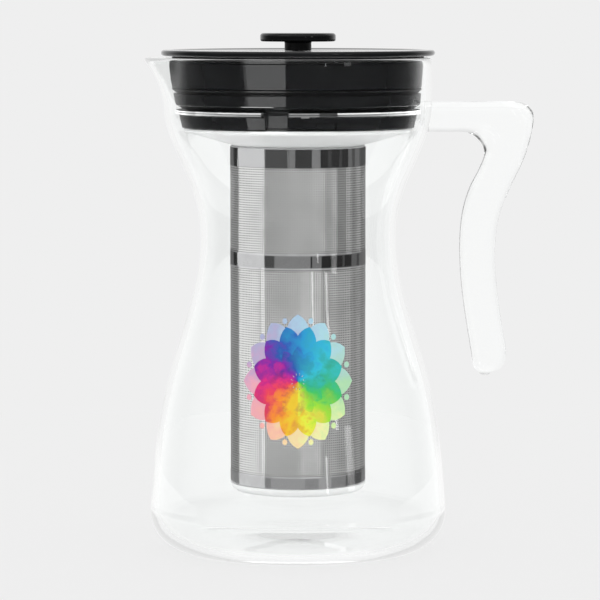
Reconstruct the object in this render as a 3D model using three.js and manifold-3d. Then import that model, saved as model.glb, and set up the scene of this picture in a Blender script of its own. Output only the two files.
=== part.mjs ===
// Cold brew coffee maker: a glass jug with a drawn spout and an open handle, a plug lid with a knob,
// and a steel mesh basket that hangs from the lid on a bayonet collar.
// Millimetres, +Z up. The origin is the middle of the underside, the spout points to -X, the handle to +X.

import * as THREE from "three";
import { mergeVertices } from "three/addons/utils/BufferGeometryUtils.js";
import Module from "manifold-3d";

const wasm = await Module();
wasm.setup();

// Jug
const JUG_HEIGHT = 220.5;
const NECK_R = 59.8;
const FOOT_R = 66.5;
const WALL = 2.4;
const FLOOR = 3.6;
const FLOOR_CROWN = 2.2;
const FOOT_FILLET = 17;
const JUG_SIDES = 48;
const SPOUT_REACH = 9.65;
const SPOUT_FOOT_Z = 197;
const SPOUT_HALF_ANGLE = THREE.MathUtils.degToRad(27);
const SPOUT_POWER = 1.95;

// Handle
const HANDLE_DEPTH = 13;
const HANDLE_STEPS = 26;
const JUG_STEPS = 15;
const HANDLE_SIDES = 12;
const FUSE_GAP = 0.3;

// Lid
const LID_SIDES = 40;
const CAP_R = 61.1;
const CAP_BOTTOM = 221.3;
const CAP_TOP = 223.9;
const CAP_DISH = 0.5;
const PLUG_TOP_R = 56.2;
const PLUG_BOTTOM_R = 54.5;
const PLUG_BOTTOM = 200;
const PLUG_WALL = 2.2;
const PLUG_BORE = 53.4;
const PLUG_NARROWS_Z = 209.5;
const UPPER_SEAL_H = 2.7;
const UPPER_SEAT_R = 54.8;
const SPIGOT_R = 49.4;
const SPIGOT_BOTTOM = 190.7;
const SEAL_Z = 204.6;
const SEAL_H = 2.7;
const SEAL_REACH = 55.9;
const KNOB_R = 16.9;
const KNOB_TOP = 231.4;
const KNOB_FACE = 3.75;
const STEM_R = 6;
const INSERT_R = 2.8;
const SCREW_R = 1.85;
const SCREW_HOLE_R = 2.3;
const WASHER_H = 0.8;

// Bayonet
const NOTCHES = 3;
const ENTRY_FROM = -15.6;
const ENTRY_TO = -4.6;
const RUN_TO = 18.5;
const LEDGE_Z = 193.3;
const LUG_WIDTH = 9;
const LUG_PLAY = 0.6;
const LUG_H = 2.2;

// Basket
const COLLAR_BOTTOM = 189.8;
const COLLAR_TOP = 197.5;
const COLLAR_R = 51.8;
const COLLAR_FLARE = 1.2;
const COLLAR_BORE = 49.9;
const FLANGE_R = 54.5;
const FLANGE_H = 2;
const LIP_R = 49.7;
const LIP_BORE = 46;
const LIP_H = 1.2;
const SEAT_TOP = 190.3;
const GASKET_R = 49.2;
const GASKET_H = 1.25;
const BASKET_SIDES = 32;
const BASKET_R = 30.4;
const SHEET = 1;
const FUNNEL_BOTTOM = 182.3;
const TOP_BAND = [173, 181.8];
const MID_BAND = [127.6, 135];
const LOW_BAND = [30.3, 36];
const BASKET_BOTTOM = 26.5;
const SEAM_WIDTH = 5;
const JOINT_GAP = 0.1;

const GLASS = { color: 0xf4f8f8, roughness: 0.03, metalness: 0 };
const BLACK = { color: 0x1c1d1e, roughness: 0.22, metalness: 0 };
const SILICONE = { color: 0x161616, roughness: 0.6, metalness: 0 };
const STEEL = { color: 0xb9babc, roughness: 0.22, metalness: 1 };
const MESH_STEEL = { color: 0x9b9c9e, roughness: 0.42, metalness: 1 };
const BRASS = { color: 0xb08d4a, roughness: 0.35, metalness: 1 };

const rad = THREE.MathUtils.degToRad;

const point = (r, z) => new THREE.Vector2(r, z);

// Points on a round corner about (r, z), from one angle to another in degrees, 0 being outwards.
function arc(r, z, radius, from, to, steps) {
  const points = [];
  for (let i = 0; i <= steps; i++) {
    const a = rad(from + ((to - from) * i) / steps);
    points.push(point(r + radius * Math.cos(a), z + radius * Math.sin(a)));
  }
  return points;
}

// A closed mesh with shared vertices and no collapsed triangles, holding positions only.
function weld(geometry) {
  const bare = new THREE.BufferGeometry();
  bare.setAttribute("position", geometry.getAttribute("position"));
  bare.setIndex(geometry.index);
  const merged = mergeVertices(bare, 1e-4);
  const kept = [];
  const old = merged.index.array;
  for (let i = 0; i < old.length; i += 3) {
    const [a, b, c] = [old[i], old[i + 1], old[i + 2]];
    if (a !== b && b !== c && c !== a) kept.push(a, b, c);
  }
  merged.setIndex(kept);
  return merged;
}

// A solid of revolution about Z. The profile runs up the outside and back down the inside, or ends on the axis.
function revolve(profile, sides, closed = true) {
  const points = closed ? [...profile, profile[0].clone()] : profile;
  return weld(new THREE.LatheGeometry(points, sides).rotateX(Math.PI / 2));
}

// A plain tube with square ends.
function tube(outer, inner, bottom, top, sides) {
  return revolve([point(inner, bottom), point(outer, bottom), point(outer, top), point(inner, top)], sides);
}

function solid(geometry) {
  const welded = weld(geometry);
  const vertProperties = welded.getAttribute("position").array;
  const triVerts = new Uint32Array(welded.index.array);
  return new wasm.Manifold(new wasm.Mesh({ numProp: 3, vertProperties, triVerts }));
}

function geometryOf(body) {
  const mesh = body.getMesh();
  const geometry = new THREE.BufferGeometry();
  geometry.setAttribute("position", new THREE.BufferAttribute(mesh.vertProperties, 3));
  geometry.setIndex(new THREE.BufferAttribute(mesh.triVerts, 1));
  return geometry;
}

// A block that follows a ring: from one angle to another, measured from the front towards +X, in degrees.
function ringSector(inner, outer, bottom, top, from, to) {
  const shape = new THREE.Shape();
  const start = rad(from - 90);
  const end = rad(to - 90);
  shape.absarc(0, 0, outer, start, end, false);
  shape.absarc(0, 0, inner, end, start, true);
  shape.closePath();
  const block = new THREE.ExtrudeGeometry(shape, { depth: top - bottom, bevelEnabled: false, curveSegments: 2 });
  return block.translate(0, 0, bottom);
}

// The jug's outer side from the foot to the neck, as radius and height.
function jugSide(steps) {
  const side = new THREE.SplineCurve([
    point(FOOT_R, FOOT_FILLET),
    point(65.2, 34.8),
    point(62.7, 55.3),
    point(58.6, 76),
    point(51.7, 99.2),
    point(46.4, 118.2),
    point(43.8, 135),
    point(44.3, 149.6),
    point(47.5, 162.2),
    point(52.7, 174.7),
    point(57.3, 186),
    point(NECK_R - 0.3, 194),
    point(NECK_R, 199),
  ]);
  return side.getPoints(steps);
}

// Draws the lip out into a spout: the further up and the nearer to -X, the more.
function drawSpout(geometry) {
  const position = geometry.getAttribute("position");
  for (let i = 0; i < position.count; i++) {
    const rise = (position.getZ(i) - SPOUT_FOOT_Z) / (JUG_HEIGHT - SPOUT_FOOT_Z);
    const angle = Math.abs(Math.atan2(position.getY(i), -position.getX(i)));
    if (rise <= 0 || angle >= SPOUT_HALF_ANGLE) continue;
    const nearness = Math.cos((angle / SPOUT_HALF_ANGLE) * (Math.PI / 2)) ** 2;
    position.setX(i, position.getX(i) - SPOUT_REACH * rise ** SPOUT_POWER * nearness);
  }
  return geometry;
}

function carafeBody() {
  const outside = jugSide(JUG_STEPS);
  const cornerTop = FLOOR + FOOT_FILLET - WALL;
  const inside = outside.map((p) => point(p.x - WALL, p.y)).filter((p) => p.y > cornerTop);
  const lip = WALL / 2;
  const neckSteps = [205, 211, 216];
  const profile = [
    ...arc(FOOT_R - FOOT_FILLET, FOOT_FILLET, FOOT_FILLET, -90, -18, 4),
    ...outside,
    ...neckSteps.map((z) => point(NECK_R, z)),
    ...arc(NECK_R - lip, JUG_HEIGHT - lip, lip, 0, 180, 3),
    ...neckSteps.map((z) => point(NECK_R - WALL, z)).reverse(),
    ...inside.reverse(),
    ...arc(FOOT_R - FOOT_FILLET, cornerTop, FOOT_FILLET - WALL, -18, -90, 3),
  ];
  const floor = [point(26, FLOOR + FLOOR_CROWN * 0.6), point(0, FLOOR + FLOOR_CROWN)];
  return drawSpout(revolve([point(0, 0), ...profile, ...floor], JUG_SIDES, false));
}

// The space that the jug's wall keeps free of the handle.
function jugEnvelope() {
  const side = jugSide(JUG_STEPS).map((p) => point(p.x + FUSE_GAP, p.y));
  const profile = [point(0, FOOT_FILLET), ...side, point(NECK_R + FUSE_GAP, JUG_HEIGHT), point(0, JUG_HEIGHT)];
  return revolve(profile, JUG_SIDES, false);
}

// An oval bar between an outer and an inner rail that lie in the XZ plane.
function loftBar(outerRail, innerRail, depth, steps, sides) {
  const outer = new THREE.SplineCurve(outerRail);
  const inner = new THREE.SplineCurve(innerRail);
  const vertices = [];
  const triangles = [];
  const squared = (v) => Math.sign(v) * Math.abs(v) ** 0.8;
  for (let i = 0; i <= steps; i++) {
    const t = i / steps;
    const far = outer.getPoint(t);
    const near = inner.getPoint(t);
    const tip = Math.max(0, (t - 0.9) / 0.1);
    const half = (depth / 2) * Math.sqrt(1 - 0.75 * tip * tip);
    for (let k = 0; k < sides; k++) {
      const a = (2 * Math.PI * (k + 0.5)) / sides;
      const along = 0.5 + 0.5 * squared(Math.cos(a)) / squared(Math.cos(Math.PI / sides));
      const p = near.clone().lerp(far, along);
      vertices.push(p.x, half * squared(Math.sin(a)), p.y);
    }
  }
  for (let i = 0; i < steps; i++) {
    for (let k = 0; k < sides; k++) {
      const a = i * sides + k;
      const b = i * sides + ((k + 1) % sides);
      triangles.push(a, a + sides, b, b, a + sides, b + sides);
    }
  }
  const last = steps * sides;
  for (let k = 1; k < sides - 1; k++) {
    triangles.push(0, k, k + 1);
    triangles.push(last, last + k + 1, last + k);
  }
  const geometry = new THREE.BufferGeometry();
  geometry.setAttribute("position", new THREE.Float32BufferAttribute(vertices, 3));
  geometry.setIndex(triangles);
  return geometry;
}

function carafeHandle() {
  const outerRail = [
    point(54, 200.9),
    point(76, 200.9),
    point(97, 200.9),
    point(103.6, 198.3),
    point(105.5, 192),
    point(101.7, 177),
    point(94.6, 161.6),
    point(89.8, 148.5),
    point(88.3, 133),
    point(89.2, 118),
    point(91.2, 103),
    point(93.6, 88.5),
    point(91.6, 81.8),
    point(86.6, 79.2),
  ];
  const innerRail = [
    point(54, 187.3),
    point(67, 187.3),
    point(75.5, 187),
    point(80.9, 183.6),
    point(83.3, 177.9),
    point(80.9, 170.8),
    point(76.4, 161.8),
    point(73.3, 150.5),
    point(72.3, 136),
    point(73.2, 119),
    point(75.2, 104),
    point(77.9, 87.5),
    point(78.8, 81.6),
    point(81.4, 79.2),
  ];
  const bar = solid(loftBar(outerRail, innerRail, HANDLE_DEPTH, HANDLE_STEPS, HANDLE_SIDES));
  return geometryOf(bar.subtract(solid(jugEnvelope())));
}

function lidCap() {
  const edge = (CAP_TOP - CAP_BOTTOM) / 2;
  const rib = { outer: 53.2, inner: 51.6, bottom: 217.6 };
  return revolve([
    point(SCREW_HOLE_R, CAP_BOTTOM),
    point(rib.inner, CAP_BOTTOM),
    point(rib.inner, rib.bottom),
    point(rib.outer, rib.bottom),
    point(rib.outer, CAP_BOTTOM),
    ...arc(CAP_R - edge, CAP_BOTTOM + edge, edge, -90, 90, 4),
    point(CAP_R - 4, CAP_TOP),
    point(CAP_R - 6, CAP_TOP - CAP_DISH),
    point(SCREW_HOLE_R, CAP_TOP - CAP_DISH),
  ], LID_SIDES);
}

function lidKnob() {
  const foot = CAP_TOP - CAP_DISH + JOINT_GAP;
  const under = KNOB_TOP - KNOB_FACE;
  const socketR = INSERT_R + JOINT_GAP;
  const socketTop = KNOB_TOP - 1.7;
  return revolve([
    point(socketR, foot),
    point(STEM_R, foot),
    point(STEM_R, under - 0.6),
    point(STEM_R + 0.6, under),
    ...arc(KNOB_R - 1, under + 1, 1, -90, 0, 2),
    ...arc(KNOB_R - 1.4, KNOB_TOP - 1.4, 1.4, 0, 90, 3),
    point(0, KNOB_TOP + 0.2),
    point(0, socketTop),
    point(socketR, socketTop),
  ], 28);
}

// The threaded insert in the knob's stem, and the screw and washer that pull the knob down on the cap.
function knobInsert() {
  return tube(INSERT_R, SCREW_R + 0.1, CAP_TOP - CAP_DISH + 0.4, KNOB_TOP - 2, 14);
}

function knobWasher() {
  const top = CAP_BOTTOM - JOINT_GAP;
  return tube(5, SCREW_HOLE_R, top - WASHER_H, top, 20);
}

function knobScrew() {
  const seat = CAP_BOTTOM - WASHER_H - 2 * JOINT_GAP;
  const headR = 3.9;
  const tip = KNOB_TOP - 3;
  return revolve([
    point(0, seat - 2.4),
    point(headR - 0.9, seat - 2.4),
    point(headR, seat - 1.5),
    point(headR, seat),
    point(SCREW_R, seat),
    point(SCREW_R, tip),
    point(0, tip),
  ], 16, false);
}

// A hollow cup with a seal groove round it. The spigot under it carries three lugs for the bayonet.
function lidPlug() {
  const slope = (PLUG_TOP_R - PLUG_BOTTOM_R) / (CAP_BOTTOM - PLUG_BOTTOM);
  const radiusAt = (z) => PLUG_BOTTOM_R + slope * (z - PLUG_BOTTOM);
  const grooveR = PLUG_BORE;
  const sealTop = SEAL_Z + SEAL_H;
  const top = CAP_BOTTOM - JOINT_GAP;
  const seat = top - UPPER_SEAL_H - 0.3;
  const roof = COLLAR_TOP + 0.4;
  const spigotBore = SPIGOT_R - 2;
  const floorUnder = PLUG_BOTTOM - 1.6;
  const cup = solid(revolve([
    point(spigotBore, SPIGOT_BOTTOM),
    point(SPIGOT_R, SPIGOT_BOTTOM),
    point(SPIGOT_R, roof),
    point(COLLAR_R - 0.2, roof),
    point(PLUG_BOTTOM_R - 0.2, PLUG_BOTTOM - 0.3),
    point(PLUG_BOTTOM_R, PLUG_BOTTOM),
    point(radiusAt(SEAL_Z), SEAL_Z),
    point(grooveR, SEAL_Z),
    point(grooveR, sealTop),
    point(radiusAt(sealTop), sealTop),
    point(radiusAt(seat), seat),
    point(UPPER_SEAT_R, seat),
    point(UPPER_SEAT_R, top),
    point(PLUG_BORE, top),
    point(PLUG_BORE, PLUG_NARROWS_Z),
    point(grooveR - PLUG_WALL, sealTop),
    point(grooveR - PLUG_WALL, PLUG_BOTTOM + 1),
    point(0, PLUG_BOTTOM + 1),
    point(0, floorUnder),
    point(spigotBore, floorUnder),
  ], LID_SIDES));
  const lugTop = LEDGE_Z - 0.3;
  const lugs = [];
  for (let i = 0; i < NOTCHES; i++) {
    const to = (360 / NOTCHES) * i + RUN_TO - LUG_PLAY;
    lugs.push(solid(ringSector(SPIGOT_R - 1, COLLAR_R - 0.4, lugTop - LUG_H, lugTop, to - LUG_WIDTH, to)));
  }
  return geometryOf(lugs.reduce((body, lug) => body.add(lug), cup));
}

function upperSeal() {
  const top = CAP_BOTTOM - 2 * JOINT_GAP;
  const inner = UPPER_SEAT_R + 0.2;
  const outer = SEAL_REACH + 0.2;
  return revolve([
    point(inner, top - UPPER_SEAL_H),
    point(outer, top - UPPER_SEAL_H),
    point(outer + 0.3, top - UPPER_SEAL_H / 2),
    point(outer, top),
    point(inner, top),
  ], LID_SIDES);
}

// The lower ring has a lip that sweeps the neck.
function lowerSeal() {
  const inner = PLUG_BORE + 0.2;
  const foot = SEAL_Z + JOINT_GAP;
  const top = SEAL_Z + SEAL_H - JOINT_GAP;
  return revolve([
    point(inner, foot),
    point(SEAL_REACH - 1.8, foot),
    point(SEAL_REACH - 0.8, foot + 1.1),
    point(SEAL_REACH, foot + 1.7),
    point(SEAL_REACH, foot + 2.1),
    point(SEAL_REACH - 1.4, top),
    point(inner, top),
  ], LID_SIDES);
}

// A ring with a flange, cut by three L-shaped notches: the lug drops in at the entry and runs under the ledge.
function filterCollar() {
  const flangeFoot = COLLAR_TOP - FLANGE_H;
  const lipFoot = COLLAR_BOTTOM - LIP_H;
  const seat = SEAT_TOP - 1;
  const ring = solid(revolve([
    point(LIP_BORE, lipFoot),
    point(LIP_R, lipFoot),
    point(LIP_R, COLLAR_BOTTOM),
    point(COLLAR_R, COLLAR_BOTTOM),
    point(COLLAR_R + COLLAR_FLARE, flangeFoot - 0.3),
    point(FLANGE_R - 0.5, flangeFoot),
    point(FLANGE_R, flangeFoot + 0.5),
    point(FLANGE_R, COLLAR_TOP - 0.5),
    point(FLANGE_R - 0.5, COLLAR_TOP),
    point(COLLAR_BORE, COLLAR_TOP),
    point(COLLAR_BORE, SEAT_TOP),
    point(GASKET_R + 0.1, SEAT_TOP),
    point(GASKET_R + 0.1, seat),
    point(LIP_BORE, seat),
  ], LID_SIDES));
  const webR = COLLAR_BORE + 0.6;
  const clearR = FLANGE_R + 1;
  const cuts = [];
  for (let i = 0; i < NOTCHES; i++) {
    const turn = (360 / NOTCHES) * i;
    const [from, to, end] = [ENTRY_FROM + turn, ENTRY_TO + turn, RUN_TO + turn];
    cuts.push(solid(ringSector(COLLAR_BORE - 0.4, clearR, SEAT_TOP, COLLAR_TOP + 1, from, to)));
    cuts.push(solid(ringSector(COLLAR_BORE - 0.4, clearR, SEAT_TOP, LEDGE_Z, to - 1, end)));
    cuts.push(solid(ringSector(webR, clearR, COLLAR_BOTTOM - 1, SEAT_TOP + 0.2, from, end)));
  }
  return geometryOf(cuts.reduce((body, cut) => body.subtract(cut), ring));
}

function collarGasket() {
  const seat = SEAT_TOP - 1;
  return tube(GASKET_R, LIP_BORE + 0.6, seat, seat + GASKET_H, LID_SIDES);
}

// The rim snaps over the collar's lower lip, and the cone leads down to a short spigot inside the top band.
function filterFunnel() {
  const throat = BASKET_R - SHEET - 0.2;
  const rim = LIP_R + 0.35;
  const rimTop = COLLAR_BOTTOM - 0.15;
  const under = COLLAR_BOTTOM - LIP_H - 0.15;
  return revolve([
    point(throat - 0.8, FUNNEL_BOTTOM - 2),
    point(throat, FUNNEL_BOTTOM - 2),
    point(throat, FUNNEL_BOTTOM - 0.3),
    point(BASKET_R, FUNNEL_BOTTOM),
    point(rim, under - 0.7),
    point(rim + 0.8, under),
    point(rim + 0.8, rimTop),
    point(rim, rimTop),
    point(rim, under),
    point(rim - 1.2, under),
    point(throat - 0.8, FUNNEL_BOTTOM + 0.6),
  ], BASKET_SIDES);
}

// The top band has a rounded shoulder that meets the cone.
function topBand() {
  const [bottom, top] = TOP_BAND;
  const inner = BASKET_R - SHEET;
  return revolve([
    point(inner, bottom),
    point(BASKET_R, bottom),
    point(BASKET_R, top - 1.2),
    point(BASKET_R - 0.35, top - 0.35),
    point(inner, top),
  ], BASKET_SIDES);
}

function band([bottom, top]) {
  return tube(BASKET_R, BASKET_R - SHEET, bottom, top, BASKET_SIDES);
}

function meshSleeve(bottom, top) {
  return tube(BASKET_R - 0.1, BASKET_R - SHEET, bottom + JOINT_GAP, top - JOINT_GAP, BASKET_SIDES);
}

// The lap where the rolled mesh is welded, inside the basket at the back.
function meshSeam(bottom, top) {
  const outer = BASKET_R - SHEET - 0.2;
  const half = THREE.MathUtils.radToDeg(SEAM_WIDTH / 2 / outer);
  return ringSector(outer - 0.5, outer, bottom + 1, top - 1, 180 - half, 180 + half);
}

function bottomCap() {
  const corner = LOW_BAND[0] - JOINT_GAP - BASKET_BOTTOM;
  return revolve([
    point(0, BASKET_BOTTOM),
    ...arc(BASKET_R - corner, BASKET_BOTTOM + corner, corner, -90, 0, 5),
    ...arc(BASKET_R - corner, BASKET_BOTTOM + corner, corner - SHEET, 0, -90, 3),
    point(0, BASKET_BOTTOM + SHEET),
  ], BASKET_SIDES, false);
}

const maker = new THREE.Group();

function add(name, geometry, look) {
  const mesh = new THREE.Mesh(geometry, new THREE.MeshStandardMaterial(look));
  mesh.name = name;
  maker.add(mesh);
}

add("carafe_body", carafeBody(), GLASS);
add("carafe_handle", carafeHandle(), GLASS);

add("lid_cap", lidCap(), BLACK);
add("lid_knob", lidKnob(), BLACK);
add("knob_insert", knobInsert(), BRASS);
add("knob_screw", knobScrew(), STEEL);
add("knob_washer", knobWasher(), STEEL);
add("lid_plug", lidPlug(), BLACK);
add("lid_seal_upper", upperSeal(), SILICONE);
add("lid_seal_lower", lowerSeal(), SILICONE);

add("filter_collar", filterCollar(), BLACK);
add("collar_gasket", collarGasket(), SILICONE);
add("filter_funnel", filterFunnel(), STEEL);
add("filter_top_band", topBand(), STEEL);
add("mesh_upper", meshSleeve(MID_BAND[1], TOP_BAND[0]), MESH_STEEL);
add("mesh_seam_upper", meshSeam(MID_BAND[1], TOP_BAND[0]), STEEL);
add("filter_mid_band", band(MID_BAND), STEEL);
add("mesh_lower", meshSleeve(LOW_BAND[1], MID_BAND[0]), MESH_STEEL);
add("mesh_seam_lower", meshSeam(LOW_BAND[1], MID_BAND[0]), STEEL);
add("filter_bottom_band", band(LOW_BAND), STEEL);
add("filter_bottom_cap", bottomCap(), STEEL);

export default maker;
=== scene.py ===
"""Cold brew coffee maker: a glass carafe, a black plug lid and a perforated steel basket."""

import math

import bmesh
import bpy
from bpy.props import FloatProperty, FloatVectorProperty, IntProperty, PointerProperty
from mathutils import Matrix, Vector


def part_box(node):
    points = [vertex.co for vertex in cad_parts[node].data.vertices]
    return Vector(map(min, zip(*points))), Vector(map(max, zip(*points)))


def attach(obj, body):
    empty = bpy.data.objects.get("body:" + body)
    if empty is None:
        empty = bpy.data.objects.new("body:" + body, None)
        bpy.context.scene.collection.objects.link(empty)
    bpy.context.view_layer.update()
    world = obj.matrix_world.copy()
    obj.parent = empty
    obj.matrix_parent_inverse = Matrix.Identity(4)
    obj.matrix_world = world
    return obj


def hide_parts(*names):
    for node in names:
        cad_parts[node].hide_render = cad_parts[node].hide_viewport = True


bl_info = {
    "name": "Cold brew coffee maker",
    "version": (1, 0, 0),
    "blender": (4, 5, 0),
    "location": "View3D > Sidebar > Cold brew",
    "description": "Builds the glass carafe, its lid and its filter basket, and a plain studio",
    "category": "Add Mesh",
}

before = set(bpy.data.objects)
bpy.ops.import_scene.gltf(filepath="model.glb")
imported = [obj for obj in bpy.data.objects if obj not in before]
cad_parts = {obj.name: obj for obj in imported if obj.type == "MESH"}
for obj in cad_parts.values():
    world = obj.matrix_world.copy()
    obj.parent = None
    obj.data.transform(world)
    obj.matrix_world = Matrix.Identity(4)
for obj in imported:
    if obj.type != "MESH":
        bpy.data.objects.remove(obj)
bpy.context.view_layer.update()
MM = 0.001
FULL_TURN = 2 * math.pi

# The jug's outer side, from the foot up to the neck, as radius and height in millimetres.
JUG_SIDE = [
    (66.5, 17),
    (65.2, 34.8),
    (62.7, 55.3),
    (58.6, 76),
    (51.7, 99.2),
    (46.4, 118.2),
    (43.8, 135),
    (44.3, 149.6),
    (47.5, 162.2),
    (52.7, 174.7),
    (57.3, 186),
    (59.5, 194),
    (59.8, 199),
]

# The handle's outer and inner edge in the XZ plane, from the neck round to the open end, in millimetres.
HANDLE_OUTER = [
    (58.3, 200.9),
    (76, 200.9),
    (97, 200.9),
    (103.6, 198.3),
    (105.3, 192),
    (101.7, 177),
    (94.6, 161.6),
    (89.8, 148.5),
    (88.3, 133),
    (89.2, 118),
    (91.2, 103),
    (93.6, 88.5),
    (91.6, 81.8),
    (86.6, 79.2),
]
HANDLE_INNER = [
    (56.5, 187.3),
    (67, 187.3),
    (75.5, 187),
    (80.9, 183.6),
    (83.3, 177.9),
    (80.9, 170.8),
    (76.4, 161.8),
    (73.3, 150.5),
    (72.3, 136),
    (73.2, 119),
    (75.2, 104),
    (77.9, 87.5),
    (78.8, 81.6),
    (81.4, 79.2),
]

# What the glass and the lid's top mirror of the studio: direction in degrees, 0 in front and positive to the
# right, and level.
STUDIO_LEVELS = [
    (-180, 0.95),
    (-140, 0.95),
    (-110, 0.12),
    (-90, 0.03),
    (90, 0.03),
    (110, 0.12),
    (140, 0.95),
    (180, 0.95),
]
# Strip lamps that the jug mirrors: first and last direction in degrees, lowest and highest Z, and level.
STRIPS = [(22.6, 24, 0.03, 0.12, 4), (32, 34.4, 0.2, 0.6, 4), (16, 17.2, 0.2, 0.5, 4), (40, 46, 0.03, 0.2, 2)]
# Reflectors that stand close round the lid and the basket, and that only they mirror: name, radius, bottom and top
# in millimetres, and the direction from which each level starts.
BACK_LEVELS = [(113, 0.9), (124, 0.5), (140, 1.4), (158, 0.4), (170, 0.1)]
REFLECTORS = [
    ("mirror_lifted", 75, 241, 432, [
        (-180, 0.9), (-100, 0.5), (-60, 1.1), (-25, 0.75), (20, 0.6), (60, 0.4), (100, 0.9)
    ]),
    ("mirror_collar", 53.8, 188.3, 195.2, [(-180, 0.1), (-90, 0.2), (-66, 0.15), (-52, 0.1), (-26.2, 4), (-6, 0.1), (80, 0.3), (90, 0.1)]),
    ("mirror_flange_low", 55, 195.3, 196.45, [
        (-180, 0.1), (-90, 3), (-80, 6), (-70, 12), (-55, 22), (-40, 20), (-30, 16), (-18, 0.5), (-4.8, 12), (8.75, 3),
        (17.2, 16), (40, 20), (55, 16), (70, 8), (80, 4), (90, 0.1),
    ]),
    ("mirror_flange", 55, 196.45, 196.75, [(-180, 0.1), (-26, 4), (-6, 0.1)]),
    ("mirror_flange_top", 55, 196.75, 197.5, [
        (-180, 0.1), (-90, 3), (-80, 6), (-70, 12), (-55, 25), (-40, 40), (-18, 2), (-4.8, 16), (8.75, 3), (17.2, 50),
        (40, 35), (55, 22), (70, 10), (80, 5), (90, 0.1),
    ]),
    ("mirror_plug_edge", 54.7, 197.55, 199.9, [(-180, 0.1), (-27, 25), (-12.5, 0.1)]),
    ("mirror_plug", 57, 197.6, 221.2, [
        (-180, 0.1), (-90, 0.1), (-26.5, 2), (-25.3, 4.3), (-7, 0.1), (70, 0.3), (90, 0.1),
    ]),
    ("mirror_bottom_band", 38, 28, 35.2, [
        (-180, 0.3), (-114, 0.4), (-76, 1.1), (-36, 0.4), (-29, 0.55), (7, 0.45), (20, 0.6), (34, 0.4), (54, 0.14), (90, 0.3),
        *BACK_LEVELS,
    ]),
    ("mirror_lower_sleeve", 38, 35.2, 126.6, [
        (-180, 0.3), (-114, 0.45), (-76, 1.4), (-43, 1.05), (-39.5, 1.6), (-36.5, 0.85), (2, 1.0), (23, 0.72), (34, 0.78),
        (42, 0.66), (54, 0.7), (62, 0.52), (74, 0.58), (85, 0.45), *BACK_LEVELS,
    ]),
    ("mirror_middle_band", 38, 126.6, 134.3, [
        (-180, 0.3), (-114, 0.2), (-92, 0.04), (-79, 1.1), (-35.8, 0.12), (-25, 0.38), (12.6, 0.02), (14, 0.3), (22.8, 0.04),
        (38, 0.12), (41, 0.04), (49, 0.12), (52, 0.04), (62, 0.2), (74, 0.1), (80, 0.22), *BACK_LEVELS,
    ]),
    ("mirror_upper_sleeve", 38, 134.3, 172.3, [
        (-180, 0.3), (-114, 0.45), (-76, 1.35), (-35.8, 0.75), (-11, 0.83), (13, 0.9), (28, 0.68), (34, 0.83), (42, 0.45),
        (54, 0.68), (62, 0.45), (74, 0.6), (85, 0.38), *BACK_LEVELS,
    ]),
    ("mirror_top_band", 38, 172.3, 185.5, [
        (-180, 0.3), (-114, 0.2), (-92, 0.04), (-79, 1.1), (-35.8, 0.13), (-11, 0.36), (-3, 0.08), (13, 0.38), (22, 0.05),
        (30, 0.1), (34, 0.05), (44, 0.12), (47, 0.05), (57, 0.25), (64, 0.12), (70, 0.25), (82, 0.12), *BACK_LEVELS,
    ]),
]


def length(name, description, default):
    return FloatProperty(name=name, description=description, default=default, unit="LENGTH", subtype="DISTANCE")


def angle(name, description, degrees):
    return FloatProperty(name=name, description=description, default=math.radians(degrees), subtype="ANGLE")


def colour(name, description, default):
    return FloatVectorProperty(
        name=name, description=description, default=default, size=4, min=0, max=1, subtype="COLOR"
    )


class CarafeSizes(bpy.types.PropertyGroup):
    height: length("Height", "Height of the glass lip above the table", 0.2205)
    neck_radius: length("Neck radius", "Outer radius of the straight neck", 0.0598)
    wall: length("Wall", "Thickness of the glass wall", 0.0024)
    floor: length("Floor", "Thickness of the glass floor at its rim", 0.0036)
    floor_crown: length("Floor crown", "Rise of the floor's middle inside", 0.0022)
    foot_fillet: length("Foot fillet", "Radius of the round corner at the foot", 0.017)
    spout_reach: length("Spout reach", "How far the lip is drawn out at the spout", 0.00945)
    handle_depth: length("Handle depth", "Depth of the handle from front to back", 0.013)


class PrintSizes(bpy.types.PropertyGroup):
    half_width: length("Half width", "Half of the printed rosette's width", 0.0235)
    half_height: length("Half height", "Half of the printed rosette's height", 0.0285)
    middle: length("Middle", "Height of the rosette's middle above the table", 0.0815)


class LidSizes(bpy.types.PropertyGroup):
    cap_radius: length("Cap radius", "Radius of the flat cap", 0.0611)
    cap_bottom: length("Cap bottom", "Height of the cap's underside", 0.2213)
    cap_top: length("Cap top", "Height of the cap's top", 0.2239)
    plug_top_radius: length("Plug top radius", "Radius of the plug under the cap", 0.0562)
    plug_bottom_radius: length("Plug bottom radius", "Radius of the plug's lower edge", 0.0545)
    plug_bottom: length("Plug bottom", "Height of the plug's lower edge", 0.2)
    seal_height: length("Seal height", "Height at which the lower seal sits", 0.2046)
    knob_radius: length("Knob radius", "Radius of the knob's face", 0.0169)
    knob_top: length("Knob top", "Height of the knob's top", 0.2314)
    knob_face: length("Knob face", "Thickness of the knob's face", 0.00375)
    stem_radius: length("Stem radius", "Radius of the knob's stem", 0.006)


class CollarSizes(bpy.types.PropertyGroup):
    bottom: length("Bottom", "Height of the collar's lower edge", 0.1898)
    top: length("Top", "Height of the flange's top", 0.1975)
    radius: length("Radius", "Outer radius of the collar", 0.0518)
    flare: length("Flare", "How much wider the collar is under its flange", 0.0012)
    bore: length("Bore", "Inner radius of the collar", 0.0499)
    flange_radius: length("Flange radius", "Outer radius of the flange", 0.0545)
    ledge: length("Ledge", "Height of the ledge that the lugs run under", 0.1933)
    notches: IntProperty(name="Notches", description="Number of bayonet notches", default=3, min=1, max=6)
    entry_from: angle("Entry from", "Where a notch's entry starts, from the front", -15.6)
    entry_to: angle("Entry to", "Where a notch's entry ends", -4.6)
    run_to: angle("Run to", "Where a notch's run ends", 18.5)


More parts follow.
